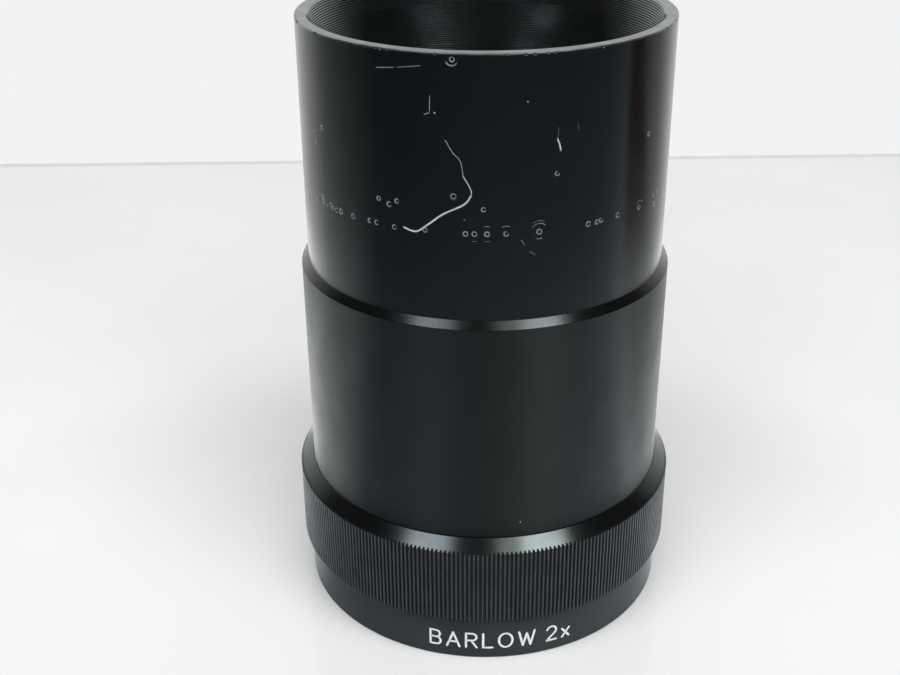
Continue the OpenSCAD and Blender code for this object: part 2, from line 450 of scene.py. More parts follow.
def nose_finish():
    # Hard black anodise, finely turned: semi-gloss, deep black facing the eye, bright at the sides.
    return black_anodise("black anodised aluminium, fine turned", "#05070a", "#07090b",
                         roughness=0.2, spread=0.85, ior=1.5, feed_mm=0.35, line_depth=0.0012)


def body_finish():
    # The same dye on a coarser cut: satin, so the room's lights show only as soft upright bands.
    return black_anodise("black anodised aluminium, satin turned", "#06090b", "#080b0d",
                         roughness=0.42, spread=1.0, ior=1.65, feed_mm=0.35, line_depth=0.002)


def chamfer_finish():
    # Chamfers cut last with a sharp tool: nearly polished under the dye, so they mirror the lights.
    return black_anodise("black anodised aluminium, burnished cut", "#050506", "#08080a",
                         roughness=0.17, spread=0.3, ior=1.9, feed_mm=0.3, line_depth=0.002, dust=0.0)


def shoulder_finish():
    # The shoulder's chamfer, a little dulled by handling: the same lights come back softer and greyer.
    return black_anodise("black anodised aluminium, handled cut", "#060607", "#0a0a0b",
                         roughness=0.2, spread=0.3, ior=1.7, feed_mm=0.3, line_depth=0.002, dust=0.0)


def band_finish():
    # Satin band of the collar, handled often: a little greyer and softer than the body.
    return black_anodise("black anodised aluminium, handled band", "#1d2124", "#24282b",
                         roughness=0.42, spread=1.0, ior=1.65, feed_mm=0.4, line_depth=0.002)


def knurl_finish():
    # Straight-knurled aluminium, black anodised: the pressed crests rub grey, and every crest is painted
    # lighter than its flutes, which stay black as painted shade.
    material, tree, shader = new_finish("black anodised aluminium, straight knurl", IOR=1.35)
    point = place(tree)
    # Crest against flute by distance from the axis: painted shade down the flutes, rubbing wear on the
    # crests
    crest = ranged(tree, radius_at(tree, point), 0.0, 1.0, (KNURL_R - FLUTE_DEPTH) * MM, KNURL_R * MM)
    rub = ranged(tree, noise(tree, point, 2.5, 4.0, 0.6), 0.55, 1.0)
    dye = blended(tree, product(tree, crest, rub), linear("#101214"), linear("#424549"))
    dusty = specks(tree, point, 2.4, 0.08, 0.3)
    tree.links.new(blended(tree, dusty, dye, linear("#a9a9a4")), shader.inputs["Base Color"])
    tree.links.new(ranged(tree, noise(tree, point, 0.3, 3.0), 0.38, 0.52), shader.inputs["Roughness"])
    relief(tree, shader, noise(tree, point, 0.2, 2.0), 0.004)
    return material


def bore_finish():
    # Black anodise inside, over the tool's bare cut: dark, but for the flanks of the grooves, which catch
    # the lamps. Its dye is paler than the outside's: painted light in the dim bore and on the parts inside
    # it.
    # The IOR is chosen for how bright the flanks look and isn't the oxide's own.
    return black_anodise("black anodised aluminium, grooved bore", "#0e1012", "#131517",
                         roughness=0.13, spread=0.3, ior=3.0, feed_mm=0.4, line_depth=0.002, dust=0.2)


def bare_aluminium(name, stained, clean, metal, roughness, line_depth):
    """Aluminium where the anodise is worn off: grey metal with the lathe's rings and faint stains."""
    material, tree, shader = new_finish(name, Metallic=metal, Anisotropic=0.3, Anisotropic_Rotation=0.25)
    point = place(tree)
    stain = ranged(tree, noise(tree, point, 1.6, 4.0, 0.6), 0.0, 1.0)
    tree.links.new(blended(tree, stain, linear(stained), linear(clean)), shader.inputs["Base Color"])
    tree.links.new(ranged(tree, noise(tree, point, 0.8, 3.0), roughness - 0.06, roughness + 0.08),
                   shader.inputs["Roughness"])
    turned_round_axis(tree, shader)
    relief(tree, shader, tool_lines(tree, point, 0.2), line_depth)
    return material


def rim_finish():
    # Mouth of the tube rubbed through to turned aluminium: a dull silver ring.
    return bare_aluminium("bare aluminium, worn rim", "#8b8d90", "#acaeb0", 1.0, 0.42, 0.003)


def bite_finish():
    # Anodise crushed by the set screws and thin scars: grey, rough, between the dye and the metal.
    return bare_aluminium("bare aluminium, bruised", "#8c8e91", "#b2b4b7", 0.4, 0.5, 0.001)


def scratch_finish():
    # Torn metal in the deep scratches: so rough that it is pale from every side.
    return bare_aluminium("bare aluminium, gouged", "#d2d4d6", "#eaecee", 0.4, 0.5, 0.001)


def glass_finish():
    # Polished optical glass with an anti-reflection coating: clear, with faint coloured reflections.
    material, tree, shader = new_finish("optical glass, coated", IOR=1.52, Transmission_Weight=1.0,
                                        Roughness=0.0, Thin_Film_Thickness=320.0, Thin_Film_IOR=1.38)
    smear = ranged(tree, noise(tree, place(tree), 7.0, 4.0, 0.6), 0.0, 0.03, 0.45, 0.75)
    tree.links.new(smear, shader.inputs["Roughness"])
    shader.inputs["Base Color"].default_value = linear("#f4faf6")
    return material


def glass_edge_finish():
    # Ground edge of an element, blackened against stray light: dead matt and slightly grainy.
    material, tree, shader = new_finish("optical glass, ground and inked edge", IOR=1.5)
    grain = noise(tree, place(tree), 0.15, 3.0)
    tree.links.new(blended(tree, grain, linear("#0b0b0c"), linear("#1b1c1d")), shader.inputs["Base Color"])
    tree.links.new(ranged(tree, grain, 0.7, 0.9), shader.inputs["Roughness"])
    return material


def brass_finish():
    # Free-cutting brass, turned and left bare: warm yellow with fine rings and a faint tarnish.
    material, tree, shader = new_finish("brass, turned", Metallic=1.0)
    point = place(tree)
    tarnish = ranged(tree, noise(tree, point, 3.0, 4.0, 0.6), 0.0, 1.0)
    colour = blended(tree, tarnish, linear("#d9b466"), linear("#a98443"))
    tree.links.new(colour, shader.inputs["Base Color"])
    tree.links.new(ranged(tree, tarnish, 0.26, 0.4, 0.0, 1.0), shader.inputs["Roughness"])
    relief(tree, shader, tool_lines(tree, point, 0.2), 0.003)
    return material


def nylon_finish():
    # Natural nylon cut from sheet: milky cream, waxy, with light passing a little way in.
    material, tree, shader = new_finish("nylon, cut", IOR=1.53, Subsurface_Weight=0.15,
                                        Subsurface_Scale=0.001)
    cloud = ranged(tree, noise(tree, place(tree), 2.0, 3.0), 0.0, 1.0)
    tree.links.new(blended(tree, cloud, linear("#e9e4d6"), linear("#d8d2c0")), shader.inputs["Base Color"])
    tree.links.new(ranged(tree, cloud, 0.4, 0.55, 0.0, 1.0), shader.inputs["Roughness"])
    return material


def rubber_finish():
    # Moulded nitrile rubber, lightly greased: black with a dull sheen.
    material, tree, shader = new_finish("nitrile rubber, moulded", IOR=1.52)
    grease = ranged(tree, noise(tree, place(tree), 1.2, 3.0), 0.0, 1.0)
    colour = blended(tree, grease, linear("#101011"), linear("#1a1a1b"))
    tree.links.new(colour, shader.inputs["Base Color"])
    tree.links.new(ranged(tree, grease, 0.35, 0.7, 0.0, 1.0), shader.inputs["Roughness"])
    return material


def screw_finish():
    # Black-oxide steel: blue-black metal, dark and slightly mottled.
    material, tree, shader = new_finish("steel, black oxide", Metallic=1.0)
    mottle = ranged(tree, noise(tree, place(tree), 0.4, 3.0), 0.0, 1.0)
    colour = blended(tree, mottle, linear("#2b2c30"), linear("#45464b"))
    tree.links.new(colour, shader.inputs["Base Color"])
    tree.links.new(ranged(tree, mottle, 0.3, 0.48, 0.0, 1.0), shader.inputs["Roughness"])
    return material


def enamel_finish():
    # Enamel wiped into the engraving: white, a little chalky, dirty where it meets the metal.
    material, tree, shader = new_finish("enamel, wiped in", IOR=1.5)
    grime = ranged(tree, noise(tree, place(tree), 0.5, 4.0, 0.6), 0.0, 1.0, 0.55, 0.85)
    tree.links.new(blended(tree, grime, linear("#fcfdfc"), linear("#d8dad8")), shader.inputs["Base Color"])
    tree.links.new(ranged(tree, grime, 0.4, 0.6, 0.0, 1.0), shader.inputs["Roughness"])
    return material


NOSE, BODY, BAND = nose_finish(), body_finish(), band_finish()
CHAMFER, SHOULDER_CUT = chamfer_finish(), shoulder_finish()
KNURL, BORE, RIM = knurl_finish(), bore_finish(), rim_finish()
BITE, SCRATCH = bite_finish(), scratch_finish()


# ---------------------------------------------------------------- nosepiece

# Places of the finishes in the nosepiece's list; the body's inside has the same one
INSIDE, RUBBED, BRUISED, GOUGED = 1, 2, 3, 4
SCREW_ROW = SHOULDER + 11.8
BITE_SIZES = 0.26, 0.32
BITE_DEPTHS = 0.03, 0.06
NICK_SIZES = 0.18, 0.32
BACK = 88, 272

# Where set screws bit the tube: angle, height over the main row, side that bit deeper
BITES = [
    (-78, -0.9, 180), (-68, -0.7, 180), (-63, -0.2, 180), (-58, 0.7, 200), (-58, 0.0, 180),
    (-53.5, 0.2, 160), (-52.5, -0.1, 180), (-50.5, -0.2, 180), (-48.5, -0.1, 190), (-43, -0.1, 180),
    (-36.5, 0.0, 180), (-34, 0.0, 180), (-28, -0.1, 190), (-18.5, 0.1, 180), (-7, 0.0, 180),
    (-4.5, 0.0, 200), (-1, 0.0, 190), (4.3, 0.0, 225), (13.7, 0.0, 210), (29, 0.0, 180), (32, 0.0, 190),
    (33.5, 0.1, 230), (40, 0.1, 190), (50, 0.0, 230), (60, -1.0, 220), (59, 0.5, 250), (62, 0.6, 250),
    (79, -1.5, 270), (-33, 3.3, 180), (-29.5, 2.8, 190), (-27, 3.4, 180), (-10.3, 4.8, 180),
    (-2, 3.2, 200), (18.5, 7.3, 225), (-62, 8.9, 180), (-56.5, 10.2, 180), (-61.5, 7.8, 180),
    (53, 9.4, 200), (-10.5, 21.5, 250),
]

# Curved scars over and under some bites: angle, height over the row, radius, middle direction, sweep and
# half width
SCARS = [
    (-4.5, 0.0, 1.0, 270, 36, 0.03), (-1, 0.0, 1.0, 90, 40, 0.03), (-1, 0.0, 1.0, 270, 36, 0.03),
    (4.3, 0.0, 1.0, 90, 60, 0.035), (13.7, 0.0, 1.1, 95, 96, 0.04), (13.7, 0.0, 1.45, 95, 60, 0.025),
    (13.7, 0.0, 0.95, 270, 48, 0.045), (50, 0.0, 0.9, 90, 108, 0.03), (-10.6, 21.5, 0.75, 265, 108, 0.09),
]

# Scratches: (angle, height over the shoulder) points, half width in millimetres, finish number
SCRATCHES = [
    ([(-32.3, 31.55), (-26.8, 31.85)], 0.06, BRUISED),
    ([(-25.8, 31.9), (-19.2, 32.35)], 0.045, BRUISED),
    ([(-16.6, 28.9), (-16.7, 27.0)], 0.03, GOUGED),
    ([(-16.8, 26.8), (-18.2, 26.6)], 0.06, BRUISED),
    ([(-12.5, 23.6), (-10.3, 22.0), (-8.4, 21.1), (-7.6, 19.2)], 0.03, GOUGED),
    ([(-7.6, 19.2), (-5.5, 17.5), (-5.5, 16.7)], 0.06, GOUGED),
    ([(-5.5, 16.7), (-7.4, 15.6), (-13.3, 14.2), (-17.6, 12.7), (-21.2, 11.6), (-24.9, 11.9)],
     0.125, GOUGED),
    ([(18.5, 24.8), (18.3, 23.4)], 0.02, BRUISED),
    ([(18.3, 23.4), (18.9, 22.7), (19.3, 22.0)], 0.11, GOUGED),
    ([(24.3, 25.0), (24.5, 24.2)], 0.02, BRUISED),
    ([(8.5, 10.9), (9.6, 10.2)], 0.03, BRUISED),
    ([(11, 9.3), (12.6, 8.8)], 0.03, BRUISED),
]


def bite_ring(angle, height, side, size, depth):
    """Cutter for the ring that a cup-point screw leaves; tipped, so that one side bites deeper."""
    bm = bmesh.new()
    stroke = 0.09
    upright = Matrix.Rotation(math.radians(90), 4, "X")
    bmesh.ops.create_circle(bm, cap_ends=False, radius=stroke, segments=8,
                            matrix=Matrix.Translation((size, 0, 0)) @ upright)
    bmesh.ops.spin(bm, geom=bm.verts[:] + bm.edges[:], axis=(0, 0, 1), cent=(0, 0, 0), steps=20,
                   angle=math.tau, use_merge=True)
    tip = Matrix.Rotation(math.radians(side), 4, "Z") @ Matrix.Rotation(math.radians(7), 4, "Y")
    bm.transform(wall_frame(NOSE_R + stroke - depth, angle, height) @ tip)
    return as_mesh("bite", bm)


def scar(angle, height, radius, middle, sweep, half_width):
    """Cutter for a curved scar beside a bite, where the screw slipped as it was tightened."""
    steps = max(4, sweep // 12)
    turns = [math.radians(middle + sweep * (i / steps - 0.5)) for i in range(steps + 1)]
    degrees_per_mm = math.degrees(1 / NOSE_R)
    places = [on_wall(NOSE_R, angle + degrees_per_mm * radius * math.cos(t), height + radius * math.sin(t))
              for t in turns]
    return groove_tube(places, half_width, 0.3 * half_width)


def smooth_route(points, steps=6):
    """Points of a smooth curve through given (angle, height) points."""
    route = []
    ends = [points[0]] + points + [points[-1]]
    for before, start, end, after in zip(ends, ends[1:], ends[2:], ends[3:]):
        for i in range(steps):
            t = i / steps
            route.append(tuple(
                0.5 * (2 * b + (c - a) * t + (2 * a - 5 * b + 4 * c - d) * t ** 2
                       + (3 * b - a - 3 * c + d) * t ** 3)
                for a, b, c, d in zip(before, start, end, after)))
    return route + [points[-1]]


def scratch(points, half_width):
    """Cutter for a scratch on the nosepiece."""
    places = [on_wall(NOSE_R, angle, SHOULDER + height) for angle, height in smooth_route(points)]
    return groove_tube(places, half_width, 0.35 * half_width)


def rim_nick(angle, size):
    """Cutter for a dent in the mouth's outer edge."""
    bm = bmesh.new()
    middle = on_wall(NOSE_R + 0.5 * size, angle, MOUTH - 0.1)
    bmesh.ops.create_icosphere(bm, subdivisions=2, radius=size, matrix=Matrix.Translation(middle))
    return as_mesh("nick", bm)


def nose_wear():
    """One cutter for all the wear of the nosepiece: the marks in front, and more of the same behind."""
    chance = random.Random(11)
    bruises = []
    gouges = []
    for angle, lift, side in BITES:
        bruises.append(bite_ring(angle, SCREW_ROW + lift, side, chance.uniform(*BITE_SIZES),
                                 chance.uniform(*BITE_DEPTHS)))
    for _ in range(16):
        angle = chance.uniform(*BACK)
        height = SCREW_ROW + chance.choice((0, 0, 0, 0.3, 3.2))
        bruises.append(bite_ring(angle, height, chance.uniform(0, 360), chance.uniform(*BITE_SIZES),
                                 chance.uniform(*BITE_DEPTHS)))
    for angle, lift, radius, middle, sweep, half_width in SCARS:
        bruises.append(scar(angle, SCREW_ROW + lift, radius, middle, sweep, half_width))
    for points, half_width, finish in SCRATCHES:
        group = gouges if finish == GOUGED else bruises
        group.append(scratch(points, half_width))
    for _ in range(5):
        angle, height = chance.uniform(100, 250), chance.uniform(8, 26)
        lean = chance.uniform(-8, 8)
        points = [(angle, height), (angle + lean, height - 2), (angle + 1.4 * lean, height - 3.6)]
        gouges.append(scratch(points, 0.06))
    nicks = [rim_nick(chance.uniform(0, 360), chance.uniform(*NICK_SIZES)) for _ in range(64)]
    return made("wear", joined([(bruises, BRUISED), (gouges, GOUGED), (nicks, RUBBED)]), [])


def nosepiece():
    """Tube that slides into a focuser: worn rim, finely grooved bore and the spigot in the body."""
    entry = vee_grooves(FILTER_R, BORE_R, MOUTH - 0.4, MOUTH - ENTRY_DEEP)
    glare = vee_grooves(BORE_R, BORE_R, MOUTH - ENTRY_DEEP, LOCK_RING_TOP + 0.2)
    # The wall's two middle corners only divide it, so that a mark is cut into a short face
    bm = turned([
        (SPIGOT_R, SPIGOT_FOOT, 0.2), (SPIGOT_R, SHOULDER), (NOSE_R, SHOULDER), (NOSE_R, SHOULDER + 8),
        (NOSE_R, SHOULDER + 17), (NOSE_R, MOUTH, RIM_ROUND), (FILTER_R + FILTER_LEAD_IN, MOUTH),
        (FILTER_R, MOUTH - FILTER_LEAD_IN), *entry[:-1], *glare,
        (BORE_R, CELL_SEAT), (LOWER_BORE_R, CELL_SEAT), (LOWER_BORE_R, SPIGOT_FOOT),
    ])
    paint(bm, INSIDE, lambda r, z: r < NOSE_R - 0.3 and z < MOUTH - 0.01)
    paint(bm, RUBBED, lambda r, z: r > FILTER_R + FILTER_LEAD_IN and z > MOUTH - RIM_ROUND + 0.01)
    tube = made("nosepiece", bm, [NOSE, BORE, RIM, BITE, SCRATCH])
    carve(tube, nose_wear(), overlapping=True)
    return settle(tube, "barrel", "nosepiece_tube")


# ---------------------------------------------------------------- body

def stop_slot():
    """Cutter for the stop screw's slot: the part of a ring that the screw sweeps as the collar turns."""
    bottom = STOP_SCREW.z - SLOT_BELOW_SCREW
    slot = turned([(BODY_R - SLOT_DEPTH, bottom), (BODY_R + 1, bottom), (BODY_R + 1, bottom + SLOT_HEIGHT),
                   (BODY_R - SLOT_DEPTH, bottom + SLOT_HEIGHT)], steps=96)
    outside = []
    for face in slot.faces:
        middle = face.calc_center_median()
        turn = math.degrees(math.atan2(middle.y, middle.x)) % 360
        if not SLOT_START < turn < SLOT_END:
            outside.append(face)
    bmesh.ops.delete(slot, geom=outside, context="FACES")
    bmesh.ops.holes_fill(slot, edges=[edge for edge in slot.edges if edge.is_boundary])
    bmesh.ops.recalc_face_normals(slot, faces=slot.faces)
    return slot


def body():
    """Sleeve with the bright shoulder chamfer, the eyepiece socket, its stop web and the clamping cone."""
    bm = turned([
        (CONE_MOUTH_R, SLEEVE_FOOT), (BODY_R, SLEEVE_FOOT, 0.2),
        (BODY_R, SHOULDER - SHOULDER_CHAMFER, 0.08), (BODY_R - SHOULDER_CHAMFER, SHOULDER, 0.05),
        (SPIGOT_R + THREAD_GAP, SHOULDER), (SPIGOT_R + THREAD_GAP, BAFFLE_FOOT),
        (WEB_R, BAFFLE_FOOT, 0.15), (WEB_R, BAFFLE_FOOT - WEB_THICK, 0.15),
        (SOCKET_R, BAFFLE_FOOT - WEB_THICK), (SOCKET_R, CONE_TOP),
    ])
    shoulder = 2
    paint(bm, INSIDE, lambda r, z: r < BODY_R - 0.2)
    paint(bm, shoulder, lambda r, z: z > SHOULDER - SHOULDER_CHAMFER and r > SPIGOT_R + 0.2)
    sleeve = made("body", bm, [BODY, BORE, SHOULDER_CUT])
    carve(sleeve, made("stop_slot", stop_slot(), []))
    return settle(sleeve, "barrel", "body_sleeve")


# ---------------------------------------------------------------- collar

def flutes(bm):
    """Presses the knurl's flutes in: two of every four columns go down, and run out on the chamfers."""
    top_slope = (COLLAR_TOP - KNURL_TOP) / (KNURL_R - COLLAR_BORE_R - TOP_LAND)
    step = math.tau / (FLUTES * FLUTE_STEPS)
    crest_turn = 0.16
    for vert in bm.verts:
        if vert.co.xy.length < KNURL_R - 0.01:
            continue
        turn = math.atan2(vert.co.y, vert.co.x)
        column = round(turn / step) % FLUTE_STEPS
        radius = KNURL_R
        height = vert.co.z
        if column >= FLUTE_STEPS // 2:
            radius -= FLUTE_DEPTH
            on_top = height > (KNURL_TOP + BAND_TOP) / 2
            height += FLUTE_DEPTH * top_slope if on_top else -FLUTE_DEPTH
        turn += (crest_turn * step) * (-1 if column in (0, 3) else 1) * (1 if column < 2 else -1)
        vert.co = (radius * math.cos(turn), radius * math.sin(turn), height)


def bend(centre_x, centre_y, radius_x, radius_y, start, end, steps=10):
    """Points of a round stretch of a letter."""
    turns = [math.radians(start + (end - start) * i / steps) for i in range(steps + 1)]
    return [(centre_x + radius_x * math.cos(t), centre_y + radius_y * math.sin(t)) for t in turns]


# Single-stroke engraver's characters on a cap height of 1: width, then strokes
CHARACTERS = {
    "B": (0.62, [[(0, 0), (0, 1)],
                 [(0, 1), (0.32, 1), *bend(0.34, 0.76, 0.24, 0.24, 80, -80), (0.32, 0.52), (0, 0.52)],
                 [(0.3, 0.52), *bend(0.36, 0.26, 0.26, 0.26, 85, -85), (0.3, 0), (0, 0)]]),
    "A": (0.74, [[(0, 0), (0.37, 1)], [(0.37, 1), (0.74, 0)], [(0.14, 0.34), (0.6, 0.34)]]),
    "R": (0.62, [[(0, 0), (0, 1)],
                 [(0, 1), (0.34, 1), *bend(0.36, 0.75, 0.25, 0.25, 85, -85), (0.34, 0.5), (0, 0.5)],
                 [(0.3, 0.5), (0.62, 0)]]),
    "L": (0.54, [[(0, 1), (0, 0)], [(0, 0), (0.54, 0)]]),
    "O": (0.8, [bend(0.4, 0.5, 0.4, 0.5, 90, 270, 14), bend(0.4, 0.5, 0.4, 0.5, 270, 450, 14)]),
    "W": (0.94, [[(0, 1), (0.24, 0)], [(0.24, 0), (0.47, 0.86)], [(0.47, 0.86), (0.7, 0)],
                 [(0.7, 0), (0.94, 1)]]),
    "2": (0.6, [[*bend(0.3, 0.71, 0.29, 0.29, 165, -38), (0.24, 0.26), (0, 0)], [(0, 0), (0.6, 0)]]),
    "x": (0.46, [[(0, 0), (0.46, 0.6)], [(0, 0.6), (0.46, 0)]]),
}
ENGRAVING = "BARLOW 2x"
CAP_HEIGHT = 2.45
ENGRAVING_FOOT = 1.8
ENGRAVING_MIDDLE = 4
CUTTER_R = 0.18
LETTER_GAP = 0.95
WORD_GAP = 1.9


def engraving():
    """Tubes along every stroke of the engraving, for cutting it and for its enamel."""
    strokes = []
    reach = 0.0
    for character in ENGRAVING:
        if character == " ":
            reach += WORD_GAP - LETTER_GAP
            continue
        width, lines = CHARACTERS[character]
        for line in lines:
            strokes.append([(reach + x * CAP_HEIGHT, ENGRAVING_FOOT + y * CAP_HEIGHT) for x, y in line])
        reach += width * CAP_HEIGHT + LETTER_GAP
    half = (reach - LETTER_GAP) / 2
    tubes = []
    for stroke in strokes:
        places = [on_wall(BAND_R, ENGRAVING_MIDDLE + math.degrees((x - half) / BAND_R), z)
                  for x, z in stroke]
        tubes.append(groove_tube(places, CUTTER_R, sink=0.0, fade=0.45, sides=3))
    return tubes


def collar():
    """Knurled twist-lock collar with its engraved band, top chamfer, lip, O-ring groove and screw hole."""
    groove_r = O_RING_R + O_RING_GAP
    groove_foot = O_RING_FOOT - O_RING_GAP
    groove_top = O_RING_TOP + O_RING_GAP
    foot_chamfer = 0.4
    bm = turned([
        (LIP_R + foot_chamfer, COLLAR_FOOT), (BAND_R, COLLAR_FOOT, 0.2), (BAND_R, BAND_TOP),
        (KNURL_R, BAND_TOP + KNURL_R - BAND_R), (KNURL_R, KNURL_TOP),
        (COLLAR_BORE_R + TOP_LAND, COLLAR_TOP, 0.04), (COLLAR_BORE_R, COLLAR_TOP),
        (COLLAR_BORE_R, groove_top), (groove_r, groove_top), (groove_r, groove_foot),
        (COLLAR_BORE_R, groove_foot), (COLLAR_BORE_R, LIP_THICK),
        (LIP_R, LIP_THICK, 0.1), (LIP_R, COLLAR_FOOT + foot_chamfer),
    ], steps=FLUTES * FLUTE_STEPS)
    chamfer, knurl, inside = 1, 2, 3
    paint(bm, chamfer, lambda r, z: z > KNURL_TOP and r > COLLAR_BORE_R)
    paint(bm, knurl, lambda r, z: r > BAND_R and BAND_TOP < z < KNURL_TOP)
    paint(bm, inside, lambda r, z: r < COLLAR_BORE_R + 0.01 and z > COLLAR_FOOT + 0.01)
    flutes(bm)
    ring = made("collar", bm, [BAND, CHAMFER, KNURL, BORE])
    hole = bmesh.new()
    through_wall = (Matrix.Translation((0, STOP_SCREW.y + 0.5, STOP_SCREW.z))
                    @ Matrix.Rotation(math.radians(90), 4, "X"))
    bmesh.ops.create_cone(hole, cap_ends=True, segments=32, radius1=SCREW_HOLE_R, radius2=SCREW_HOLE_R,
                          depth=4, matrix=through_wall)
    for face in hole.faces:
        face.material_index = inside
    carve(ring, made("screw_hole", hole, []))
    carve(ring, made("engraving", joined([(engraving(), 0)]), []), overlapping=True)
    return settle(ring, "collar", "lock_collar")


def enamel():
    """White enamel in the engraving, a hair below the band."""
    fill = made("collar_enamel", joined([(engraving(), 0)]), [enamel_finish()])
    surface = BAND_R - 0.025
    shell = turned([(BAND_R - 1, 0.5), (surface, 0.5), (surface, 6), (BAND_R - 1, 6)],
                   steps=FLUTES * FLUTE_STEPS)
    carve(fill, made("level", shell, []), "INTERSECT", overlapping=True)
    fill.data.transform(Matrix.Scale(MM, 4))
    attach(fill, "collar")
    return fill


# ---------------------------------------------------------------- optics

def cell():
    """Cell that carries both elements: seat below, thread for the retaining ring above."""
    bm = turned([
        (APERTURE_R, CELL_SEAT, 0.1), (CELL_R, CELL_SEAT, 0.2), (CELL_R, CELL_TOP, 0.2),
        (RETAINER_R + THREAD_GAP, CELL_TOP, 0.15), (RETAINER_R + THREAD_GAP, CROWN_TOP),
        (LENS_R + THREAD_GAP, CROWN_TOP), (LENS_R + THREAD_GAP, FLINT_FOOT), (APERTURE_R, FLINT_FOOT),
    ])
    return settle(made("cell", bm, [BORE]), "barrel", "lens_cell")


def slotted_ring(name, node, outline, width, depth, quarter_turn):
    """Threaded ring with two spanner slots across its top."""
    radius, _, top = extent(node)
    ring = made(name, turned(outline), [BORE])
    bar = bmesh.new()
    bmesh.ops.create_cube(bar, size=1, matrix=Matrix.Rotation(math.radians(90 * quarter_turn), 4, "Z")
                          @ Matrix.Translation((0, 0, top))
                          @ Matrix.Diagonal((2 * radius + 2, width, 2 * depth, 1)))
    carve(ring, made("slots", bar, []))
    return settle(ring, "barrel", node)


def retaining_ring():
    """Ring that holds the elements in their cell."""
    inner = APERTURE_R - 0.3
    return slotted_ring("retaining_ring", "lens_retaining_ring", [
        (inner, RETAINER_FOOT, 0.1), (RETAINER_R, RETAINER_FOOT, 0.1), (RETAINER_R, RETAINER_TOP, 0.12),
        (inner + 0.6, RETAINER_TOP, 0.05), (inner, RETAINER_TOP - 0.6, 0.05),
    ], width=1.4, depth=0.9, quarter_turn=0)


def lock_ring():
    """Jam ring that locks the cell in the tube."""
    inner = JAM_RING_BORE_R
    return slotted_ring("jam_ring", "cell_lock_ring", [
        (inner, CELL_TOP, 0.1), (CELL_R, CELL_TOP, 0.1), (CELL_R, LOCK_RING_TOP, 0.12),
        (inner + 0.4, LOCK_RING_TOP, 0.05), (inner, LOCK_RING_TOP - 0.4, 0.05),
    ], width=1.6, depth=1.1, quarter_turn=1)


GLASS, GLASS_EDGE = glass_finish(), glass_edge_finish()


def element(name, node, low, high):
    """Lens element: its two polished faces, with a ground edge and lands."""
    bm = turned([*low, *high[::-1]])
    paint(bm, 1, lambda r, z: r > APERTURE_R)
    return settle(made(name, bm, [GLASS, GLASS_EDGE]), "barrel", node, lathe=False)


def crown():
    """Upper element, hollow on both faces."""
    low = dome(SHARED_CURVE_R, APERTURE_R, CROWN_FOOT, 1)[::-1] + [(LENS_R, CROWN_FOOT, 0.15)]
    high = dome(CROWN_HOLLOW_R, APERTURE_R, CROWN_TOP, -1)[::-1] + [(LENS_R, CROWN_TOP, 0.15)]
    return element("crown", "crown_element", low, high)


def flint():
    """Lower element: a meniscus that fits under the crown."""
    low = dome(FLINT_FOOT_CURVE_R, APERTURE_R, FLINT_FOOT, 1)[::-1] + [(LENS_R, FLINT_FOOT, 0.15)]
    high = dome(SHARED_CURVE_R, APERTURE_R, SPACER_FOOT, 1)[::-1] + [(LENS_R, SPACER_FOOT, 0.15)]
    return element("flint", "flint_element", low, high)


nosepiece()
body()
collar()
enamel()
cell()
retaining_ring()
lock_ring()
crown()
flint()

nylon = nylon_finish()
FINISH_OF = {
    "compression_ring": brass_finish(), "thrust_washer": nylon, "lens_pad_ring": nylon,
    "collar_o_ring": rubber_finish(), "collar_stop_screw": screw_finish(),
    "lens_spacer_ring": BORE, "glare_baffle": BORE,
}
for node, finish in FINISH_OF.items():
    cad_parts[node].material_slots[0].material = finish


# ---------------------------------------------------------------- studio

FLOOR_BACK = 0.198
FLOOR_EDGE = 0.003
FLOOR_SIZE = 1.0


def sheet(bm, middle, width, depth):
    """Adds one flat rectangle that faces up."""
    return bmesh.ops.create_grid(bm, x_segments=1, y_segments=1, size=0.5,
                                 matrix=Matrix.Translation(middle) @ Matrix.Diagonal((width, depth, 1, 1)))


def board_finish(name, size_mm, dark, pale, roughness, detail):
    # Board under gloss or matt paint: nearly white, with broad faint shading from the roller.
    material, tree, shader = new_finish(name, IOR=1.45, Roughness=roughness)
    shade = ranged(tree, noise(tree, place(tree), size_mm, detail), 0.0, 1.0)
    tree.links.new(blended(tree, shade, linear(dark), linear(pale)), shader.inputs["Base Color"])
    return material


def ground():
    """Pale floor, a little glossy, that ends behind the object in a thin darker strip of painted shade."""
    board = board_finish("painted board, pale", 60.0, "#ececeb", "#f1f1f0", 0.14, 2.0)
    # The edge strip is darker than the board: painted shade along the floor's far edge
    edge = board_finish("painted board, strip of painted shade", 25.0, "#e0e1e0", "#e6e7e6", 0.6, 3.0)
    bm = bmesh.new()
    sheet(bm, (0, FLOOR_BACK - FLOOR_SIZE / 2, -0.00005), FLOOR_SIZE, FLOOR_SIZE)
    strip = sheet(bm, (0, FLOOR_BACK + 0.0005, -0.00004), FLOOR_SIZE, FLOOR_EDGE)
    strip["verts"][0].link_faces[0].material_index = 1
    bmesh.ops.rotate(bm, verts=bm.verts, cent=(0, 0, 0), matrix=Matrix.Rotation(math.radians(0.6), 3, "Z"))
    floor = made("floor", bm, [board, edge])
    floor.visible_glossy = False


def lamp(name, spot, width, depth, brightness, colour):
    """Soft rectangular light over the object. Brightness is measured against a white card's."""
    data = bpy.data.lights.new(name, "AREA")
    data.shape = "RECTANGLE"
    data.size = width
    data.size_y = depth
    data.energy = brightness * math.pi * width * depth
    data.color = linear(colour)[:3]
    light = bpy.data.objects.new(name, data)
    light.location = spot
    bpy.context.scene.collection.objects.link(light)
    return light


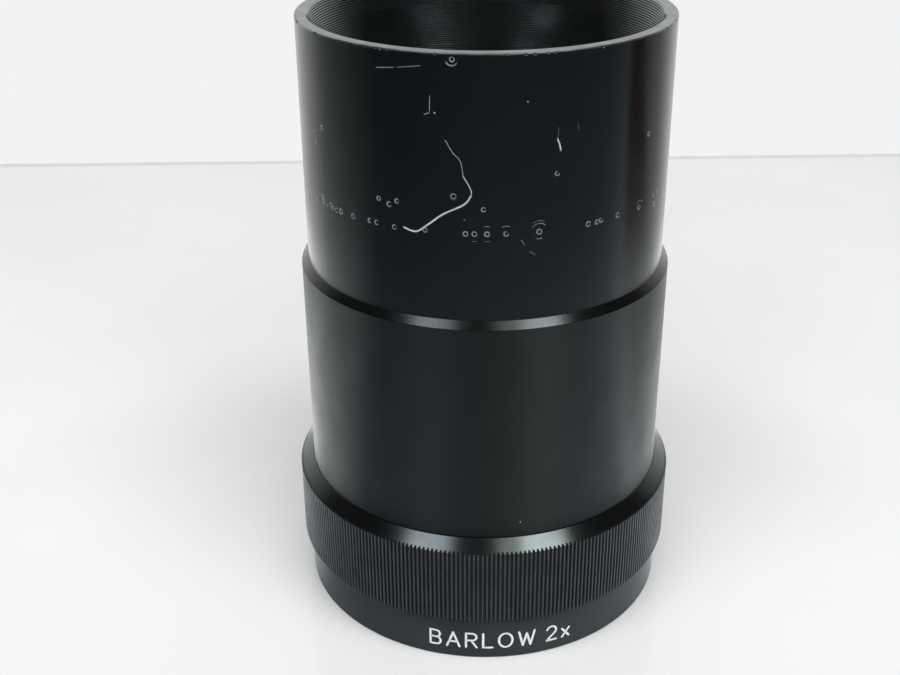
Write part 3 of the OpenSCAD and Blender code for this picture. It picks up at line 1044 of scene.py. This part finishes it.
def surround():
    """Pale backdrop all round for the eye; object and floor feel it bright behind and dim in front."""
    world = bpy.data.worlds.new("studio")
    bpy.context.scene.world = world
    world.use_nodes = True
    tree = world.node_tree
    tree.nodes.clear()
    seen = add(tree, "ShaderNodeBackground", None, {"Color": linear("#f2f3f2"), "Strength": 1.0})
    direction = add(tree, "ShaderNodeTexCoord").outputs["Generated"]
    towards = add(tree, "ShaderNodeSeparateXYZ", None, {0: direction})
    behind = ranged(tree, towards.outputs["Y"], 0.03, 1.05, 0.35, 0.8)
    felt = add(tree, "ShaderNodeBackground", None, {"Color": linear("#f2f3f2"), "Strength": behind})
    rays = add(tree, "ShaderNodeLightPath")
    mix = add(tree, "ShaderNodeMixShader", None,
              {0: rays.outputs["Is Camera Ray"], 1: felt.outputs[0], 2: seen.outputs[0]})
    add(tree, "ShaderNodeOutputWorld", None, {"Surface": mix.outputs[0]})


# Painted reflection of the table round the barrel, dim in front as painted shade:
# (degrees from the front, colour)
TABLE_GLOW = [
    (-180, "#f8f8f8"), (-139, "#fafafa"), (-124, "#e8eaea"), (-112, "#bcbfc0"), (-102, "#aaadae"),
    (-92, "#999c9d"), (-68, "#585c5f"), (-45, "#606467"), (0, "#7a7e80"), (60, "#7a7e80"),
    (76, "#83878a"), (86, "#a8acae"), (98, "#9a9c9d"), (118, "#b0b2b3"), (124, "#c4c6c7"),
    (139, "#f4f4f4"), (180, "#f8f8f8"),
]


def card_material(name):
    """An empty material for a card; returns it with its tree and the distance from the axis."""
    material = bpy.data.materials.new(name)
    material.use_nodes = True
    tree = material.node_tree
    tree.nodes.clear()
    distance = add(tree, "ShaderNodeVectorMath", {"operation": "LENGTH"}, {0: place(tree)})
    return material, tree, distance.outputs["Value"]


def table_colours(tree):
    """The table's glow as a colour that changes with the direction from the object."""
    facing = add(tree, "ShaderNodeMapping", None,
                 {"Vector": place(tree), "Rotation": (0, 0, math.radians(90))})
    sweep = add(tree, "ShaderNodeTexGradient", {"gradient_type": "RADIAL"}, {"Vector": facing.outputs[0]})
    ramp = add(tree, "ShaderNodeValToRGB", None, {"Fac": sweep.outputs["Fac"]})
    stops = ramp.color_ramp.elements
    stops[0].position, stops[1].position = 0.0, 1.0
    stops[0].color, stops[1].color = linear(TABLE_GLOW[0][1]), linear(TABLE_GLOW[-1][1])
    for angle, colour in TABLE_GLOW[1:-1]:
        stops.new(0.5 + angle / 360).color = linear(colour)
    return ramp.outputs["Color"]


def glow_card():
    """Glowing card on the table, seen only by reflections: a painted reflection, brighter near and beside.

    It is dimmer in front and dark under the object, as painted shade.
    """
    material, tree, distance = card_material("card, painted reflection")
    nearness = ranged(tree, distance, 3.4, 1.0, 0.06, 0.175)
    across = add(tree, "ShaderNodeSeparateXYZ", None, {0: place(tree)})
    sine = add(tree, "ShaderNodeMath", {"operation": "DIVIDE"}, {0: across.outputs["X"], 1: distance})
    beside = product(tree, sine.outputs[0], sine.outputs[0])
    flank = ranged(tree, distance, 1.35, 0.0, 0.08, 0.14)
    boost = add(tree, "ShaderNodeMath", {"operation": "MULTIPLY_ADD"}, {0: beside, 1: flank, 2: 1.0})
    # No glow under the object: painted shade
    outside = add(tree, "ShaderNodeMath", {"operation": "GREATER_THAN"}, {0: distance, 1: BAND_R * MM})
    lit = product(tree, nearness, outside.outputs[0])
    glow = add(tree, "ShaderNodeEmission", None,
               {"Color": table_colours(tree), "Strength": product(tree, lit, boost.outputs[0])})
    add(tree, "ShaderNodeOutputMaterial", None, {"Surface": glow.outputs[0]})
    bm = bmesh.new()
    bmesh.ops.create_circle(bm, cap_ends=True, radius=0.6, segments=64)
    bmesh.ops.translate(bm, verts=bm.verts, vec=(0, 0, -0.0002))
    mirrored_only(made("glow card", bm, [material]))


def wine_card():
    """Dark red card beside the object, seen only by reflections: it draws one dark streak up the tube.

    It glows in its own colour, as a painted reflection.
    """
    material, tree, distance = card_material("card, wine red, painted reflection")
    cover = ranged(tree, distance, 0.0, 1.0, 0.155, 0.19)
    red = add(tree, "ShaderNodeEmission", None, {"Color": linear("#52303c"), "Strength": 1.0})
    clear = add(tree, "ShaderNodeBsdfTransparent")
    mix = add(tree, "ShaderNodeMixShader", None, {0: cover, 1: clear.outputs[0], 2: red.outputs[0]})
    add(tree, "ShaderNodeOutputMaterial", None, {"Surface": mix.outputs[0]})
    bm = bmesh.new()
    sheet(bm, (0.335, 0.035, -0.0001), 0.37, 0.078)
    mirrored_only(made("wine card", bm, [material]))


def mirrored_only(card):
    """Leaves a card to the object's reflections alone."""
    card.visible_camera = False
    card.visible_diffuse = False
    card.visible_shadow = False
    card.visible_transmission = False


def camera():
    """Camera in front and above, looking down at the barrel."""
    data = bpy.data.cameras.new("camera")
    data.lens = 49.54
    data.sensor_width = 36
    data.clip_start = 0.01
    eye = bpy.data.objects.new("camera", data)
    place_at = Matrix.Translation((-0.0051, -0.167, 0.1213))
    tilt = Matrix.Rotation(math.radians(63.496), 4, "X")
    roll = Matrix.Rotation(math.radians(-0.472), 4, "Z")
    eye.matrix_world = place_at @ tilt @ roll
    bpy.context.scene.collection.objects.link(eye)
    bpy.context.scene.camera = eye


ground()
glow_card()
wine_card()
lamp("left lamp", (-0.42, -0.335, 1.0), width=0.34, depth=0.3, brightness=4.2, colour="#f2f6ff")
lamp("right lamp", (0.44, -0.36, 1.0), width=0.36, depth=0.3, brightness=6.4, colour="#fafffe")
lamp("warm lamp", (0.16, -0.42, 1.0), width=0.12, depth=0.3, brightness=2.6, colour="#e2eadc")
fill = lamp("fill", (0, -0.75, 1.2), width=1.6, depth=1.6, brightness=2.9, colour="#ffffff")
fill.rotation_euler.x = math.radians(32)
fill.visible_glossy = False
surround()
camera()
bpy.context.scene.view_settings.view_transform = "Standard"
